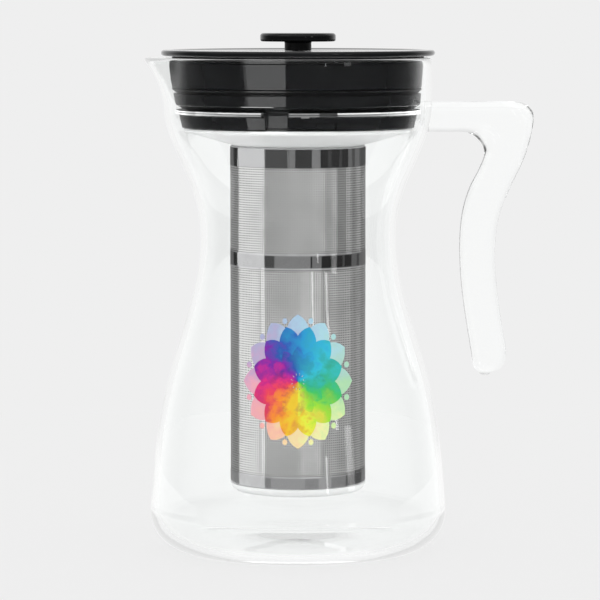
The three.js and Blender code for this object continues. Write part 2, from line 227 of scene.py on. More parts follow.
class BasketSizes(bpy.types.PropertyGroup):
    radius: length("Radius", "Outer radius of the basket", 0.0304)
    sheet: length("Sheet", "Thickness of the solid bands", 0.001)
    bottom: length("Bottom", "Height of the basket's underside", 0.0265)
    hole_pitch: length("Hole pitch", "Distance from one hole to the next", 0.00105)
    bar: length("Bar", "Width of the metal between two holes", 0.0006)
    mesh_thickness: length("Mesh thickness", "Thickness of the perforated sheet", 0.00025)


class Finishes(bpy.types.PropertyGroup):
    glass: colour("Glass", "Colour of the clear glass", (0.985, 0.993, 0.99, 1))
    plastic: colour("Plastic", "Colour of the lid and the collar", (0.0095, 0.0098, 0.0105, 1))
    silicone: colour("Silicone", "Colour of the seals", (0.010, 0.010, 0.010, 1))
    steel: colour("Steel", "Colour of the bright bands", (0.56, 0.56, 0.565, 1))
    mesh: colour("Mesh", "Colour of the perforated sheet", (0.60, 0.60, 0.595, 1))
    funnel: colour("Funnel", "Colour of the satin funnel and bottom cap", (0.93, 0.93, 0.93, 1))
    brass: colour("Brass", "Colour of the threaded insert", (0.60, 0.42, 0.16, 1))


class StageSizes(bpy.types.PropertyGroup):
    backdrop: FloatProperty(name="Backdrop", description="Level of the plain backdrop", default=0.863, min=0, max=1)
    glow: FloatProperty(name="Glow", description="Level of the backdrop through the glass", default=1.01, min=0, max=2)
    inside: FloatProperty(name="Inside", description="Level of the light on matt pieces inside the jug", default=2.05, min=0, max=4)
    floor_radius: length("Floor radius", "Radius of the round table top", 0.5)
    camera_height: length("Camera height", "Height of the camera above the table", 0.2451)
    camera_distance: length("Camera distance", "Distance of the camera in front of the axis", 1.465)
    camera_pitch: angle("Camera pitch", "How far the camera looks down", 5.197)
    focal_length: FloatProperty(name="Focal length", description="Focal length on a 36 mm sensor", default=196.55)


def mm(value):
    return value / MM


# Shapes


def curve_through(points, count):
    """Points on a smooth curve through the given ones."""
    last = len(points) - 1
    line = []
    for i in range(count + 1):
        place = last * i / count
        k = min(int(place), last - 1)
        t = place - k
        near = (points[max(k - 1, 0)], points[k], points[k + 1], points[min(k + 2, last)])
        line.append(tuple(between(*values, t) for values in zip(*near)))
    return line


def between(a, b, c, d, t):
    """The value at t on a smooth curve from b to c, with a before and d after them."""
    start, end = (c - a) / 2, (d - b) / 2
    return (2 * b - 2 * c + start + end) * t**3 + (3 * c - 3 * b - 2 * start - end) * t**2 + start * t + b


def corner(r, z, radius, start, end, steps):
    """Points on a round corner about (r, z), from one angle to another in degrees, 0 being outwards."""
    turns = (math.radians(start + (end - start) * i / steps) for i in range(steps + 1))
    return [(r + radius * math.cos(turn), z + radius * math.sin(turn)) for turn in turns]


def soften(profile, radius, closed=True):
    """Rounds the sharp corners of a profile."""
    soft = []
    for i, place in enumerate(profile):
        if not closed and i in (0, len(profile) - 1):
            soft.append(place)
            continue
        tip = Vector(place)
        back = Vector(profile[i - 1]) - tip
        ahead = Vector(profile[(i + 1) % len(profile)]) - tip
        if back.angle(ahead) > math.radians(155):
            soft.append(place)
            continue
        reach = min(radius, 0.45 * back.length, 0.45 * ahead.length)
        first, final = tip + back.normalized() * reach, tip + ahead.normalized() * reach
        for t in (0, 0.3, 0.7, 1):
            soft.append(tuple(first.lerp(tip, t).lerp(tip.lerp(final, t), t)))
    return soft


def revolve(profile, steps, closed=True):
    """Spins a profile of radius and height, in millimetres, into a closed body."""
    bm = bmesh.new()
    verts = [bm.verts.new((r * MM, 0, z * MM)) for r, z in profile]
    edges = [bm.edges.new(pair) for pair in zip(verts, verts[1:])]
    if closed:
        edges.append(bm.edges.new((verts[-1], verts[0])))
    bmesh.ops.spin(
        bm, geom=verts + edges, cent=(0, 0, 0), axis=(0, 0, 1), angle=FULL_TURN, steps=steps, use_merge=True
    )
    bmesh.ops.remove_doubles(bm, verts=bm.verts, dist=1e-7)
    bmesh.ops.recalc_face_normals(bm, faces=bm.faces)
    return bm


def ring_block(bm, inner, outer, bottom, top, start, end):
    """Adds a block that follows a ring, from one angle to another, measured from the front towards +X."""
    rectangle = [(inner, bottom), (outer, bottom), (outer, top), (inner, top)]
    turn = Matrix.Rotation(start - math.pi / 2, 3, "Z")
    verts = [bm.verts.new(turn @ Vector((r * MM, 0, z * MM))) for r, z in rectangle]
    edges = [bm.edges.new((verts[i - 1], verts[i])) for i in range(4)]
    steps = max(2, round(math.degrees(end - start)))
    bmesh.ops.spin(bm, geom=verts + edges, cent=(0, 0, 0), axis=(0, 0, 1), angle=end - start, steps=steps)
    bmesh.ops.holes_fill(bm, edges=[edge for edge in bm.edges if edge.is_boundary], sides=4)
    bmesh.ops.recalc_face_normals(bm, faces=bm.faces)


def make_object(name, bm):
    mesh = bpy.data.meshes.new(name)
    bm.to_mesh(mesh)
    bm.free()
    obj = bpy.data.objects.new(name, mesh)
    bpy.context.scene.collection.objects.link(obj)
    return obj


def apply_modifiers(obj):
    """Bakes an object's modifiers into its mesh."""
    depsgraph = bpy.context.evaluated_depsgraph_get()
    mesh = bpy.data.meshes.new_from_object(obj.evaluated_get(depsgraph))
    obj.modifiers.clear()
    obj.data = mesh


def combine(obj, other, operation):
    """Fuses or cuts an object with another one, which is used up."""
    modifier = obj.modifiers.new("Combine", "BOOLEAN")
    modifier.operation = operation
    modifier.solver = "EXACT"
    modifier.object = other
    apply_modifiers(obj)
    bpy.data.objects.remove(other)


def round_edges(obj, width, segments=2):
    """Takes the sharpness off every hard edge."""
    modifier = obj.modifiers.new("Round edges", "BEVEL")
    modifier.width = width
    modifier.segments = segments
    modifier.limit_method = "ANGLE"
    modifier.angle_limit = math.radians(40)
    apply_modifiers(obj)


def finish_piece(obj, body, material, replaced=(), sharp=40):
    """Shades a piece, gives it its finish and hangs it on its body."""
    obj.data.materials.clear()
    obj.data.materials.append(material)
    obj.data.shade_smooth()
    obj.data.set_sharp_from_angle(angle=math.radians(sharp))
    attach(obj, body)
    if replaced:
        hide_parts(*replaced)
    return obj


# Materials


def node(tree, kind, inputs=None, **settings):
    """Adds a node, sets it up and fills or links its inputs."""
    made = tree.nodes.new(kind)
    made.location = (220 * len(tree.nodes), 0)
    for name, value in settings.items():
        setattr(made, name, value)
    for key, value in (inputs or {}).items():
        if isinstance(value, bpy.types.NodeSocket):
            tree.links.new(value, made.inputs[key])
        else:
            made.inputs[key].default_value = value
    return made


def calculate(tree, operation, first, second=0.0):
    return node(tree, "ShaderNodeMath", {0: first, 1: second}, operation=operation).outputs[0]


def map_range(tree, value, low, high, new_low, new_high, smooth=False):
    inputs = {"Value": value, "From Min": low, "From Max": high, "To Min": new_low, "To Max": new_high}
    interpolation = "SMOOTHSTEP" if smooth else "LINEAR"
    return node(tree, "ShaderNodeMapRange", inputs, interpolation_type=interpolation).outputs["Result"]


def window(tree, value, low, high):
    """1 where a value lies between two limits, and 0 elsewhere."""
    return calculate(
        tree, "MULTIPLY", calculate(tree, "GREATER_THAN", value, low), calculate(tree, "LESS_THAN", value, high)
    )


def mix_colour(tree, factor, first, second):
    mixer = node(tree, "ShaderNodeMix", {0: factor, 6: first, 7: second}, data_type="RGBA")
    return mixer.outputs[2]


def set_stops(ramp, stops):
    """Gives a colour ramp its stops, as position and colour or level."""
    elements = ramp.color_ramp.elements
    while len(elements) > 1:
        elements.remove(elements[-1])
    for i, (position, value) in enumerate(stops):
        element = elements[0] if i == 0 else elements.new(position)
        element.position = position
        element.color = value if isinstance(value, tuple) else (value, value, value, 1)


def new_group(name, inputs, outputs):
    """An empty shader node group with named sockets, and its inner input and output nodes."""
    group = bpy.data.node_groups.new(name, "ShaderNodeTree")
    for label, kind, default in inputs:
        socket = group.interface.new_socket(name=label, in_out="INPUT", socket_type=kind)
        socket.default_value = default
    for label, kind in outputs:
        group.interface.new_socket(name=label, in_out="OUTPUT", socket_type=kind)
    return group, node(group, "NodeGroupInput"), node(group, "NodeGroupOutput")


def surface_group():
    """Smudges and a directional grain, for plastics, silicone and metals."""
    name = "Smudged surface"
    if name in bpy.data.node_groups:
        return bpy.data.node_groups[name]
    inputs = [
        ("Colour", "NodeSocketColor", (0.5, 0.5, 0.5, 1)),
        ("Smudge Colour", "NodeSocketColor", (0.4, 0.4, 0.4, 1)),
        ("Roughness", "NodeSocketFloat", 0.2),
        ("Smudge Roughness", "NodeSocketFloat", 0.3),
        ("Smudge Scale", "NodeSocketFloat", 60.0),
        ("Grain Stretch", "NodeSocketVector", (1, 1, 1)),
        ("Grain Scale", "NodeSocketFloat", 800.0),
    ]
    outputs = [("Colour", "NodeSocketColor"), ("Roughness", "NodeSocketFloat"), ("Grain", "NodeSocketFloat")]
    group, given, result = new_group(name, inputs, outputs)
    place = node(group, "ShaderNodeTexCoord").outputs["Object"]
    clouds = node(
        group,
        "ShaderNodeTexNoise",
        {"Vector": place, "Scale": given.outputs["Smudge Scale"], "Detail": 4, "Roughness": 0.6},
    )
    smudge = map_range(group, clouds.outputs["Fac"], 0.42, 0.68, 0, 1, smooth=True)
    stretched = node(
        group, "ShaderNodeVectorMath", {0: place, 1: given.outputs["Grain Stretch"]}, operation="MULTIPLY"
    )
    grain = node(
        group,
        "ShaderNodeTexNoise",
        {"Vector": stretched.outputs[0], "Scale": given.outputs["Grain Scale"], "Detail": 3, "Roughness": 0.55},
    )
    tone = mix_colour(group, smudge, given.outputs["Colour"], given.outputs["Smudge Colour"])
    gloss = map_range(group, smudge, 0, 1, given.outputs["Roughness"], given.outputs["Smudge Roughness"])
    group.links.new(tone, result.inputs["Colour"])
    group.links.new(gloss, result.inputs["Roughness"])
    group.links.new(grain.outputs["Fac"], result.inputs["Grain"])
    return group


def start_material(name):
    """A new material with its node tree and its shader."""
    material = bpy.data.materials.new(name)
    material.use_nodes = True
    tree = material.node_tree
    return material, tree, tree.nodes["Principled BSDF"]


def smudged_material(name, tone, shade, metallic, roughness, smudged, scales, stretch, relief):
    """A material made of the shared surface group and a Principled shader."""
    if name in bpy.data.materials:
        return bpy.data.materials[name]
    material, tree, shader = start_material(name)
    smudge_scale, grain_scale = scales
    dulled = (tone[0] * shade, tone[1] * shade, tone[2] * shade, 1)
    surface = node(
        tree,
        "ShaderNodeGroup",
        {
            "Colour": tuple(tone),
            "Smudge Colour": dulled,
            "Roughness": roughness,
            "Smudge Roughness": smudged,
            "Smudge Scale": smudge_scale,
            "Grain Stretch": stretch,
            "Grain Scale": grain_scale,
        },
        node_tree=surface_group(),
    )
    bump = node(tree, "ShaderNodeBump", {"Height": surface.outputs["Grain"], "Distance": relief})
    tree.links.new(surface.outputs["Colour"], shader.inputs["Base Color"])
    tree.links.new(surface.outputs["Roughness"], shader.inputs["Roughness"])
    tree.links.new(bump.outputs["Normal"], shader.inputs["Normal"])
    shader.inputs["Metallic"].default_value = metallic
    return material


def glass_material():
    """Clear blown glass with a slight waviness, and a painted pale glow on paths that have bounced more than three
    times in it.
    """
    name = "Clear glass"
    if name in bpy.data.materials:
        return bpy.data.materials[name]
    material, tree, shader = start_material(name)
    place = node(tree, "ShaderNodeTexCoord").outputs["Object"]
    waves = node(tree, "ShaderNodeTexNoise", {"Vector": place, "Scale": 32, "Detail": 1})
    bump = node(tree, "ShaderNodeBump", {"Height": waves.outputs["Fac"], "Distance": 0.00012})
    tree.links.new(bump.outputs["Normal"], shader.inputs["Normal"])
    # Painted glow: the glass emits a pale grey where a path has bounced more than three times, though it is no lamp.
    bounces = node(tree, "ShaderNodeLightPath").outputs["Glossy Depth"]
    painted_glow_mask = calculate(tree, "GREATER_THAN", bounces, 3.5)
    tree.links.new(mix_colour(tree, painted_glow_mask, (0, 0, 0, 1), (0.35, 0.35, 0.35, 1)), shader.inputs["Emission Color"])
    shader.inputs["Emission Strength"].default_value = 1
    material.cycles.emission_sampling = "NONE"
    shader.inputs["Base Color"].default_value = bpy.context.scene.cold_brew_finishes.glass
    shader.inputs["Roughness"].default_value = 0
    shader.inputs["IOR"].default_value = 1.47
    shader.inputs["Transmission Weight"].default_value = 1
    return material


def plastic_material():
    tone = bpy.context.scene.cold_brew_finishes.plastic
    material = smudged_material("Gloss plastic", tone, 1.3, 0, 0.06, 0.1, (45, 1500), (1, 1, 1), 0.000002)
    shader = material.node_tree.nodes["Principled BSDF"]
    shader.inputs["IOR"].default_value = 1.45
    shader.inputs["Specular IOR Level"].default_value = 0.3
    return material


def silicone_material():
    tone = bpy.context.scene.cold_brew_finishes.silicone
    material = smudged_material("Silicone", tone, 1.5, 0, 0.3, 0.4, (90, 2500), (1, 1, 1), 0.00001)
    material.node_tree.nodes["Principled BSDF"].inputs["Specular IOR Level"].default_value = 0.3
    return material


def steel_material():
    tone = bpy.context.scene.cold_brew_finishes.steel
    return smudged_material("Bright steel", tone, 0.93, 1, 0.10, 0.17, (70, 160), (1, 1, 0.12), 0.00004)


def rolled_steel_material():
    tone = bpy.context.scene.cold_brew_finishes.steel
    return smudged_material("Rolled steel", tone, 0.9, 1, 0.08, 0.15, (70, 420), (1, 1, 0.05), 0.00016)


def mesh_material():
    """Perforated steel whose inner side is darkened with painted shade, so that its holes show dark."""
    tone, radius = bpy.context.scene.cold_brew_finishes.mesh, bpy.context.scene.cold_brew_basket.radius
    material = smudged_material("Perforated steel", tone, 0.9, 1, 0.14, 0.22, (50, 110), (1, 1, 0.35), 0.00006)
    tree = material.node_tree
    place = node(tree, "ShaderNodeTexCoord").outputs["Object"]
    level = node(tree, "ShaderNodeVectorMath", {0: place, 1: (1, 1, 0)}, operation="MULTIPLY").outputs[0]
    reach = node(tree, "ShaderNodeVectorMath", {0: level}, operation="LENGTH").outputs["Value"]
    # Painted shade: the colour falls to 0.15 of the steel's on the inner side of the sheet and on anything inside it.
    outside = map_range(tree, reach, radius - 0.00027, radius - 0.00017, 0.15, 1)
    inner_painted_shade_colour = mix_colour(tree, outside, (0, 0, 0, 1), tree.nodes["Group"].outputs["Colour"])
    tree.links.new(inner_painted_shade_colour, tree.nodes["Principled BSDF"].inputs["Base Color"])
    return material


def satin_material():
    tone = bpy.context.scene.cold_brew_finishes.funnel
    return smudged_material("Satin steel", tone, 0.98, 0.1, 0.4, 0.45, (40, 900), (1, 1, 4), 0.000004)


def brass_material():
    tone = bpy.context.scene.cold_brew_finishes.brass
    return smudged_material("Turned brass", tone, 0.8, 1, 0.25, 0.4, (200, 900), (1, 1, 8), 0.00001)


def ink_group():
    """Printed colours that turn through the rainbow round the rosette's middle, with a watery mottle."""
    name = "Rainbow ink"
    if name in bpy.data.node_groups:
        return bpy.data.node_groups[name]
    inputs = [
        ("Middle", "NodeSocketVector", (0, 0, 0)),
        ("Paleness", "NodeSocketFloat", 0.0),
        ("Depth", "NodeSocketFloat", 0.0),
        ("Turn", "NodeSocketFloat", 0.0),
    ]
    group, given, result = new_group(name, inputs, [("Colour", "NodeSocketColor")])
    place = node(group, "ShaderNodeTexCoord").outputs["Object"]
    about = node(group, "ShaderNodeVectorMath", {0: place, 1: given.outputs["Middle"]}, operation="SUBTRACT")
    axes = node(group, "ShaderNodeSeparateXYZ", {0: about.outputs[0]})
    turn = calculate(group, "ARCTAN2", axes.outputs["X"], axes.outputs["Z"])
    clouds = node(group, "ShaderNodeTexNoise", {"Vector": place, "Scale": 170, "Detail": 4, "Roughness": 0.55})
    drift = map_range(group, clouds.outputs["Fac"], 0.3, 0.7, -0.35, 0.35)
    shifted = calculate(group, "ADD", calculate(group, "ADD", turn, drift), given.outputs["Turn"])
    wheel = node(group, "ShaderNodeValToRGB", {0: map_range(group, shifted, -math.pi, math.pi, 0, 1)})
    set_stops(
        wheel,
        [
            (0.00, (0.93, 0.62, 0.02, 1)),
            (0.08, (1.00, 0.30, 0.02, 1)),
            (0.16, (0.90, 0.05, 0.10, 1)),
            (0.25, (0.78, 0.01, 0.25, 1)),
            (0.34, (0.22, 0.01, 0.42, 1)),
            (0.42, (0.02, 0.10, 0.50, 1)),
            (0.52, (0.01, 0.36, 0.70, 1)),
            (0.62, (0.02, 0.55, 0.72, 1)),
            (0.72, (0.02, 0.50, 0.32, 1)),
            (0.80, (0.05, 0.62, 0.12, 1)),
            (0.88, (0.35, 0.80, 0.03, 1)),
            (0.95, (0.85, 0.90, 0.05, 1)),
            (1.00, (0.93, 0.62, 0.02, 1)),
        ],
    )
    patches = map_range(group, clouds.outputs["Fac"], 0.45, 0.62, 0, 1, smooth=True)
    deep = mix_colour(group, calculate(group, "MULTIPLY", patches, given.outputs["Depth"]), wheel.outputs["Color"],
                      (0.01, 0.02, 0.12, 1))
    pale = mix_colour(group, given.outputs["Paleness"], deep, (1, 0.97, 0.93, 1))
    group.links.new(pale, result.inputs["Colour"])
    return group


def ink_material(name, paleness, depth, turn):
    """One layer of printed ink."""
    if name in bpy.data.materials:
        return bpy.data.materials[name]
    material, tree, shader = start_material(name)
    middle = (0, 0, bpy.context.scene.cold_brew_print.middle)
    values = {"Middle": middle, "Paleness": paleness, "Depth": depth, "Turn": turn}
    ink = node(tree, "ShaderNodeGroup", values, node_tree=ink_group())
    tree.links.new(ink.outputs["Colour"], shader.inputs["Base Color"])
    shader.inputs["Roughness"].default_value = 0.35
    return material


# Stage


def under_glass(tree, path):
    """1 for light that reaches a matt piece through the glass, and 0 elsewhere."""
    return calculate(
        tree, "GREATER_THAN", calculate(tree, "MULTIPLY", path["Diffuse Depth"], path["Transmission Depth"]), 0.5
    )


def studio_world(stage):
    """A flat backdrop for the camera, and a dark studio with a pale back for what mirrors it."""
    world = bpy.data.worlds.new("Studio")
    world.use_nodes = True
    bpy.context.scene.world = world
    tree = world.node_tree
    tree.nodes.clear()
    path = node(tree, "ShaderNodeLightPath").outputs
    axes = node(tree, "ShaderNodeSeparateXYZ", {0: node(tree, "ShaderNodeTexCoord").outputs["Generated"]})
    front = calculate(tree, "MULTIPLY", axes.outputs["Y"], -1)
    turn = calculate(tree, "ARCTAN2", axes.outputs["X"], front)
    place = map_range(tree, turn, -math.pi, math.pi, 0, 1)
    horizon = node(tree, "ShaderNodeValToRGB", {0: place})
    set_stops(horizon, [((degrees + 180) / 360, level) for degrees, level in STUDIO_LEVELS])
    above = map_range(tree, axes.outputs["Z"], 0.25, 0.8, 0, 0.75, smooth=True)
    below = map_range(tree, axes.outputs["Z"], -0.78, -0.92, 0, 0.85, smooth=True)
    room = calculate(tree, "MAXIMUM", horizon.outputs["Color"], calculate(tree, "MAXIMUM", above, below))
    strips = 0.0
    for first, last, lowest, highest, level in STRIPS:
        seen_from = window(tree, turn, math.radians(first), math.radians(last))
        strip = calculate(tree, "MULTIPLY", seen_from, window(tree, axes.outputs["Z"], lowest, highest))
        strips = calculate(tree, "ADD", strips, calculate(tree, "MULTIPLY", strip, level))
    mirrored = calculate(tree, "ADD", room, strips)
    through = map_range(tree, calculate(tree, "ABSOLUTE", axes.outputs["Z"]), 0.2, 0.9, stage.glow, 0.75, smooth=True)
    bounced = calculate(tree, "GREATER_THAN", path["Glossy Depth"], 0.5)
    seen = node(tree, "ShaderNodeMix", {0: bounced, 2: through, 3: mirrored}).outputs[0]
    often = calculate(tree, "GREATER_THAN", path["Glossy Depth"], 1.5)
    soft = node(tree, "ShaderNodeMix", {0: often, 2: seen, 3: 0.82}).outputs[0]
    lit = node(tree, "ShaderNodeMix", {0: path["Is Diffuse Ray"], 2: soft, 3: 1.0}).outputs[0]
    lit = node(tree, "ShaderNodeMix", {0: under_glass(tree, path), 2: lit, 3: stage.inside}).outputs[0]
    level = node(tree, "ShaderNodeMix", {0: path["Is Camera Ray"], 2: lit, 3: stage.backdrop}).outputs[0]
    background = node(tree, "ShaderNodeBackground", {"Color": (1, 1, 1, 1), "Strength": level})
    output = node(tree, "ShaderNodeOutputWorld")
    tree.links.new(background.outputs[0], output.inputs["Surface"])


def table_top(stage):
    """A round pale table, which melts into the backdrop and keeps a faint shadow."""
    bm = bmesh.new()
    bmesh.ops.create_circle(bm, cap_ends=True, segments=96, radius=stage.floor_radius)
    bmesh.ops.translate(bm, vec=(0, 0, -0.0002), verts=bm.verts)
    table = make_object("table_top", bm)
    material = bpy.data.materials.new("Table top")
    material.use_nodes = True
    tree = material.node_tree
    tree.nodes.clear()
    path = node(tree, "ShaderNodeLightPath").outputs
    place = node(tree, "ShaderNodeTexCoord").outputs["Object"]
    reach = node(tree, "ShaderNodeVectorMath", {0: place}, operation="LENGTH").outputs["Value"]
    bounced = calculate(tree, "GREATER_THAN", path["Glossy Depth"], 0.5)
    depth = node(tree, "ShaderNodeSeparateXYZ", {0: place}).outputs["Y"]
    front = calculate(tree, "MULTIPLY", bounced, calculate(tree, "LESS_THAN", depth, -0.06))
    dark = calculate(tree, "MULTIPLY", front, calculate(tree, "GREATER_THAN", reach, 0.14))
    glow = node(tree, "ShaderNodeMix", {0: dark, 2: 0.99, 3: 0.03}).outputs[0]
    inside = map_range(tree, reach, 0.1, 0.16, 0.95, stage.inside)
    glow = node(tree, "ShaderNodeMix", {0: under_glass(tree, path), 2: glow, 3: inside}).outputs[0]
    glow = node(tree, "ShaderNodeMix", {0: path["Is Camera Ray"], 2: glow, 3: 0.868}).outputs[0]
    emission = node(tree, "ShaderNodeEmission", {"Color": (1, 1, 1, 1), "Strength": glow})
    matt = node(tree, "ShaderNodeBsdfDiffuse", {"Color": (0.8, 0.8, 0.8, 1)})
    mixed = node(tree, "ShaderNodeMixShader", {0: 0.07, 1: emission.outputs[0], 2: matt.outputs[0]})
    output = node(tree, "ShaderNodeOutputMaterial")
    tree.links.new(mixed.outputs[0], output.inputs["Surface"])
    table.data.materials.append(material)
    table.visible_glossy = False


def reflector(name, radius, bottom, top, levels):
    """A band of light and dark cards that is seen only in the mirror-like surfaces inside it."""
    bm = bmesh.new()
    depth = (top - bottom) * MM
    bmesh.ops.create_cone(bm, cap_ends=False, segments=192, radius1=radius * MM, radius2=radius * MM, depth=depth)
    bmesh.ops.translate(bm, vec=(0, 0, (bottom + top) / 2 * MM), verts=bm.verts)
    bmesh.ops.recalc_face_normals(bm, faces=bm.faces)
    bmesh.ops.reverse_faces(bm, faces=bm.faces)
    band = make_object(name, bm)
    band.visible_camera = False
    band.visible_diffuse = False
    band.visible_transmission = False
    band.visible_shadow = False
    material = bpy.data.materials.new(name)
    material.use_nodes = True
    material.cycles.emission_sampling = "NONE"
    tree = material.node_tree
    tree.nodes.clear()
    axes = node(tree, "ShaderNodeSeparateXYZ", {0: node(tree, "ShaderNodeTexCoord").outputs["Object"]})
    turn = calculate(tree, "ARCTAN2", axes.outputs["X"], calculate(tree, "MULTIPLY", axes.outputs["Y"], -1))
    brightest = max(level for start, level in levels)
    ramp = node(tree, "ShaderNodeValToRGB", {0: map_range(tree, turn, -math.pi, math.pi, 0, 1)})
    ramp.color_ramp.interpolation = "CONSTANT"
    set_stops(ramp, [((degrees + 180) / 360, level / brightest) for degrees, level in levels])
    glow = node(tree, "ShaderNodeEmission", {"Color": ramp.outputs["Color"], "Strength": brightest})
    outside = node(tree, "ShaderNodeNewGeometry").outputs["Backfacing"]
    passed = calculate(tree, "GREATER_THAN", node(tree, "ShaderNodeLightPath").outputs["Transparent Depth"], 0.5)
    clear = node(tree, "ShaderNodeBsdfTransparent")
    hidden = calculate(tree, "MAXIMUM", outside, passed)
    mixed = node(tree, "ShaderNodeMixShader", {0: hidden, 1: glow.outputs[0], 2: clear.outputs[0]})
    output = node(tree, "ShaderNodeOutputMaterial")
    tree.links.new(mixed.outputs[0], output.inputs["Surface"])
    band.data.materials.append(material)


def place_camera(stage):
    data = bpy.data.cameras.new("Camera")
    data.sensor_width = 36
    data.lens = stage.focal_length
    camera = bpy.data.objects.new("Camera", data)
    camera.location = (0.0009, -stage.camera_distance, stage.camera_height)
    camera.rotation_euler = (math.pi / 2 - stage.camera_pitch, 0, 0)
    bpy.context.scene.collection.objects.link(camera)
    bpy.context.scene.camera = camera


class BuildStage(bpy.types.Operator):
    """Make the camera, the plain backdrop, the table and the light cards"""

    bl_idname = "cold_brew.stage"
    bl_label = "Stage"

    def execute(self, context):
        stage = context.scene.cold_brew_stage
        place_camera(stage)
        context.scene.view_settings.view_transform = "Standard"
        studio_world(stage)
        table_top(stage)
        for band in REFLECTORS:
            reflector(*band)
        return {"FINISHED"}


# Carafe


def jug_side(steps=78):
    return curve_through(JUG_SIDE, steps)


def glass_radius(height):
    """Outer radius of the jug at a height above its foot, in millimetres."""
    side = jug_side()
    for (r, z), (next_r, next_z) in zip(side, side[1:]):
        if z <= height <= next_z:
            return r + (next_r - r) * (height - z) / (next_z - z)
    raise ValueError(f"the jug's side doesn't reach {height} mm")


def draw_spout(bm, sizes):
    """Draws the lip out: the further up and the nearer to -X, the more."""
    start, half_angle, power = 0.197, math.radians(27), 1.95
    for vert in bm.verts:
        rise = (vert.co.z - start) / (sizes.height - start)
        turn = abs(math.atan2(vert.co.y, -vert.co.x))
        if rise > 0 and turn < half_angle:
            nearness = math.cos(turn / half_angle * math.pi / 2) ** 2
            vert.co.x -= sizes.spout_reach * rise**power * nearness


def jug_shell(sizes):
    """The blown jug without its handle."""
    neck, wall, height = mm(sizes.neck_radius), mm(sizes.wall), mm(sizes.height)
    floor, crown, fillet = mm(sizes.floor), mm(sizes.floor_crown), mm(sizes.foot_fillet)
    foot = JUG_SIDE[0][0] - fillet
    side = jug_side()
    inner_corner = floor + fillet - wall
    inside = [(r - wall, z) for r, z in side if z > inner_corner + 0.4]
    neck_heights = (201.5, 205, 209, 213, 217)
    lip = wall / 2
    profile = [
        (0, 1.3),
        (17, 1.25),
        (32, 0.95),
        (39, 0.5),
        (43.5, 0.12),
        (46.5, 0),
        *corner(foot, fillet, fillet, -90, 0, 14)[:-1],
        *side,
        *((neck, z) for z in neck_heights),
        *corner(neck - lip, height - lip, lip, 0, 180, 10),
        *((neck - wall, z) for z in reversed(neck_heights)),
        *reversed(inside),
        *corner(foot, inner_corner, fillet - wall, 0, -90, 12),
    ]
    for r in (46, 38, 30, 22, 14, 7, 0):
        profile.append((r, floor + crown * 0.5 * (1 + math.cos(math.pi * r / foot))))
    bm = revolve(profile, 192, closed=False)
    draw_spout(bm, sizes)
    return bm


def handle_bar(sizes):
    """The solid glass handle, from inside the neck's wall to its rounded open end."""
    root = [0.0, 0.0025, 0.005, 0.0085, 0.0125, 0.018]
    stations = root + [0.028 + 0.972 * i / 84 for i in range(85)]
    dome = [math.radians(turn) for turn in (18, 36, 54, 72, 90)]
    outer, inner = curve_through(HANDLE_OUTER, 2000), curve_through(HANDLE_INNER, 2000)
    around, last = 32, len(stations) - 1

    def squared(value):
        return math.copysign(abs(value) ** 0.8, value)

    bm = bmesh.new()
    bmesh.ops.create_grid(bm, x_segments=last + len(dome), y_segments=around, size=1)
    for vert in bm.verts:
        step = round((vert.co.x + 1) / 2 * (last + len(dome)))
        turn = math.pi * (vert.co.y + 1)
        t = stations[min(step, last)]
        bend = dome[step - last - 1] if step > last else 0
        far, near = Vector(outer[round(t * 2000)]), Vector(inner[round(t * 2000)])
        tip = max(0, (t - 0.9) / 0.1)
        half = mm(sizes.handle_depth) / 2 * math.sqrt(1 - 0.75 * tip * tip)
        span = (far - near) * 0.5 * math.cos(bend)
        place = (far + near) / 2 + span * squared(math.cos(turn))
        vert.co = Vector((place.x, half * math.cos(bend) * squared(math.sin(turn)), place.y - 1.4 * math.sin(bend))) * MM
    bmesh.ops.remove_doubles(bm, verts=bm.verts, dist=1e-7)
    bmesh.ops.holes_fill(bm, edges=[edge for edge in bm.edges if edge.is_boundary], sides=0)
    bmesh.ops.recalc_face_normals(bm, faces=bm.faces)
    return bm


class BuildCarafe(bpy.types.Operator):
    """Make the glass jug with its drawn spout, and fuse the handle to it"""

    bl_idname = "cold_brew.carafe"
    bl_label = "Glass carafe"

    def execute(self, context):
        sizes = context.scene.cold_brew_carafe
        carafe = make_object("glass_carafe", jug_shell(sizes))
        combine(carafe, make_object("glass_handle", handle_bar(sizes)), "UNION")
        finish_piece(carafe, "carafe", glass_material(), ("carafe_body", "carafe_handle"), sharp=30)
        return {"FINISHED"}


def lay_petal(bm, turn, start, end, half_width):
    """A petal in the XZ plane, on a rosette of radius 1 about the origin."""
    petal = bmesh.ops.create_grid(bm, x_segments=14, y_segments=6, size=1)["verts"]
    for vert in petal:
        along = (vert.co.x + 1) / 2
        across = vert.co.y * half_width * math.sin(math.pi * along**1.45) ** 0.75
        reach = start + (end - start) * along
        x = reach * math.sin(turn) + across * math.cos(turn)
        z = reach * math.cos(turn) - across * math.sin(turn)
        vert.co = (x, 0, z)


def lay_dot(bm, turn, reach, radius):
    """A round dot in the XZ plane, on a rosette of radius 1 about the origin."""
    dot = bmesh.ops.create_grid(bm, x_segments=4, y_segments=20, size=1)["verts"]
    for vert in dot:
        distance, spin = radius * (vert.co.x + 1) / 2, math.pi * vert.co.y
        x = reach * math.sin(turn) + distance * math.sin(spin)
        z = reach * math.cos(turn) + distance * math.cos(spin)
        vert.co = (x, 0, z)


def print_on_glass(bm, sizes, lift):
    """Wraps flat print shapes round the front of the jug and gives the ink its thickness."""
    for vert in bm.verts:
        x = vert.co.x * sizes.half_width
        z = sizes.middle + vert.co.z * sizes.half_height
        radius = glass_radius(mm(z)) * MM + lift
        vert.co = (x, -math.sqrt(radius * radius - x * x), z)
    bmesh.ops.remove_doubles(bm, verts=bm.verts, dist=1e-6)
    bm.normal_update()
    bmesh.ops.reverse_faces(bm, faces=[face for face in bm.faces if face.normal.y > 0])
    bmesh.ops.solidify(bm, geom=bm.faces[:], thickness=0.00003)


